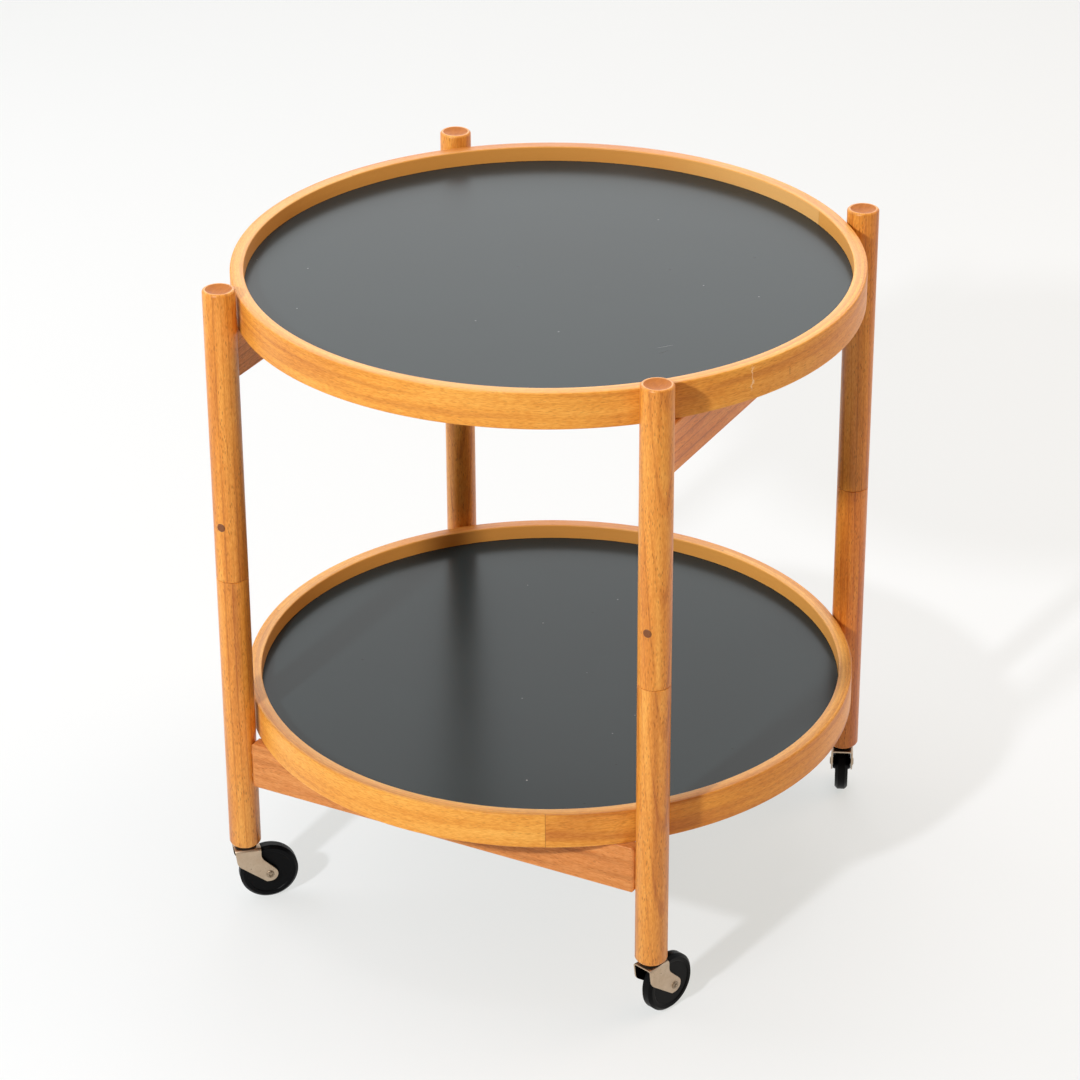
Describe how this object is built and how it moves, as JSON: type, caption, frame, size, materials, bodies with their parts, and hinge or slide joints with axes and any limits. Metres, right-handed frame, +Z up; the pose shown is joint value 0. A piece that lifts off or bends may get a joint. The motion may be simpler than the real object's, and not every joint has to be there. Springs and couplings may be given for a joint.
{
  "type": "serving trolley",
  "caption": "Folding serving trolley with round lift-off trays on rails between round beech legs that run on swivel casters.",
  "frame": {"origin": "on the floor, under the centre of the round trays", "axes": "+Z up; +X along the two lower rails, from the front left leg to the front right leg; +Y along the two upper rails, from front to rear"},
  "size_m": [0.55, 0.55, 0.607],
  "materials": {
    "beech_legs": "oiled beech, satin",
    "beech_rims": "oiled laminated beech, satin",
    "beech_rails": "oiled beech, satin",
    "beech_dowels": "plain beech",
    "dark_pins": "dark hardwood, oiled",
    "black_laminate": "satin pressed laminate",
    "zinc_steel": "passivated zinc plate",
    "bright_steel": "turned steel",
    "dark_collar": "blackened",
    "black_wheel": "moulded, polished by use"
  },
  "bodies": {
    "front_frame": {"lower_leg_front_left": "beech_legs", "lower_leg_front_right": "beech_legs", "front_rail": "beech_rails", "front_rail_dowels": "beech_dowels", "pivot_dowel_front_left": "beech_dowels", "pivot_dowel_front_right": "beech_dowels", "socket_front_left": "bright_steel", "socket_front_right": "bright_steel", "stem_front_left": "bright_steel", "stem_front_right": "bright_steel", "collar_front_left": "dark_collar", "collar_front_right": "dark_collar"},
    "rear_frame": {"lower_leg_rear_right": "beech_legs", "lower_leg_rear_left": "beech_legs", "rear_rail": "beech_rails", "rear_rail_dowels": "beech_dowels", "pivot_dowel_rear_right": "beech_dowels", "pivot_dowel_rear_left": "beech_dowels", "socket_rear_right": "bright_steel", "socket_rear_left": "bright_steel", "stem_rear_right": "bright_steel", "stem_rear_left": "bright_steel", "collar_rear_right": "dark_collar", "collar_rear_left": "dark_collar"},
    "left_frame": {"upper_leg_front_left": "beech_legs", "upper_leg_rear_left": "beech_legs", "left_rail": "beech_rails", "left_rail_dowels": "beech_dowels", "locking_pin_front_left": "dark_pins", "locking_pin_rear_left": "dark_pins"},
    "right_frame": {"upper_leg_front_right": "beech_legs", "upper_leg_rear_right": "beech_legs", "right_rail": "beech_rails", "right_rail_dowels": "beech_dowels", "locking_pin_front_right": "dark_pins", "locking_pin_rear_right": "dark_pins"},
    "upper_tray": {"upper_tray_rim": "beech_rims", "upper_tray_panel": "black_laminate"},
    "lower_tray": {"lower_tray_rim": "beech_rims", "lower_tray_panel": "black_laminate"},
    "caster_fork_front_left": {"fork_front_left": "zinc_steel", "axle_front_left": "bright_steel"},
    "caster_wheel_front_left": {"wheel_front_left": "black_wheel"},
    "caster_fork_front_right": {"fork_front_right": "zinc_steel", "axle_front_right": "bright_steel"},
    "caster_wheel_front_right": {"wheel_front_right": "black_wheel"},
    "caster_fork_rear_right": {"fork_rear_right": "zinc_steel", "axle_rear_right": "bright_steel"},
    "caster_wheel_rear_right": {"wheel_rear_right": "black_wheel"},
    "caster_fork_rear_left": {"fork_rear_left": "zinc_steel", "axle_rear_left": "bright_steel"},
    "caster_wheel_rear_left": {"wheel_rear_left": "black_wheel"}
  },
  "joints": [
    {"name": "left_frame_fold", "type": "hinge", "parent": "front_frame", "child": "left_frame", "pos_m": [-0.20594, -0.20594, 0.333], "axis": [0, 0, 1], "range_deg": [-0.33, 0.33]},
    {"name": "right_frame_fold", "type": "hinge", "parent": "front_frame", "child": "right_frame", "pos_m": [0.20594, -0.20594, 0.333], "axis": [0, 0, 1], "range_deg": [-0.33, 0.33]},
    {"name": "rear_frame_fold", "type": "hinge", "parent": "left_frame", "child": "rear_frame", "pos_m": [-0.20594, 0.20594, 0.333], "axis": [0, 0, 1], "range_deg": [-0.33, 0.33]},
    {"name": "upper_tray_lift", "type": "slide", "parent": "front_frame", "child": "upper_tray", "axis": [0, 0, 1], "range_m": [0, 0.12]},
    {"name": "lower_tray_lift", "type": "slide", "parent": "front_frame", "child": "lower_tray", "axis": [0, 0, 1], "range_m": [0, 0.315]},
    {"name": "swivel_front_left", "type": "hinge", "parent": "front_frame", "child": "caster_fork_front_left", "pos_m": [-0.20594, -0.20594, 0.059], "axis": [0, 0, 1], "continuous": true},
    {"name": "roll_front_left", "type": "hinge", "parent": "caster_fork_front_left", "child": "caster_wheel_front_left", "pos_m": [-0.19108, -0.19256, 0.027], "axis": [-0.6691, 0.7431, 0], "continuous": true},
    {"name": "swivel_front_right", "type": "hinge", "parent": "front_frame", "child": "caster_fork_front_right", "pos_m": [0.20594, -0.20594, 0.059], "axis": [0, 0, 1], "continuous": true},
    {"name": "roll_front_right", "type": "hinge", "parent": "caster_fork_front_right", "child": "caster_wheel_front_right", "pos_m": [0.21179, -0.18682, 0.027], "axis": [-0.9563, 0.2924, 0], "continuous": true},
    {"name": "swivel_rear_right", "type": "hinge", "parent": "rear_frame", "child": "caster_fork_rear_right", "pos_m": [0.20594, 0.20594, 0.059], "axis": [0, 0, 1], "continuous": true},
    {"name": "roll_rear_right", "type": "hinge", "parent": "caster_fork_rear_right", "child": "caster_wheel_rear_right", "pos_m": [0.19813, 0.22435, 0.027], "axis": [-0.9205, -0.3907, 0], "continuous": true},
    {"name": "swivel_rear_left", "type": "hinge", "parent": "rear_frame", "child": "caster_fork_rear_left", "pos_m": [-0.20594, 0.20594, 0.059], "axis": [0, 0, 1], "continuous": true},
    {"name": "roll_rear_left", "type": "hinge", "parent": "caster_fork_rear_left", "child": "caster_wheel_rear_left", "pos_m": [-0.19656, 0.2236, 0.027], "axis": [-0.8829, 0.4695, 0], "continuous": true}
  ],
  "couplings": [
    {"joint": "right_frame_fold", "follows": "left_frame_fold", "ratio": 1},
    {"joint": "rear_frame_fold", "follows": "left_frame_fold", "ratio": -1}
  ]
}
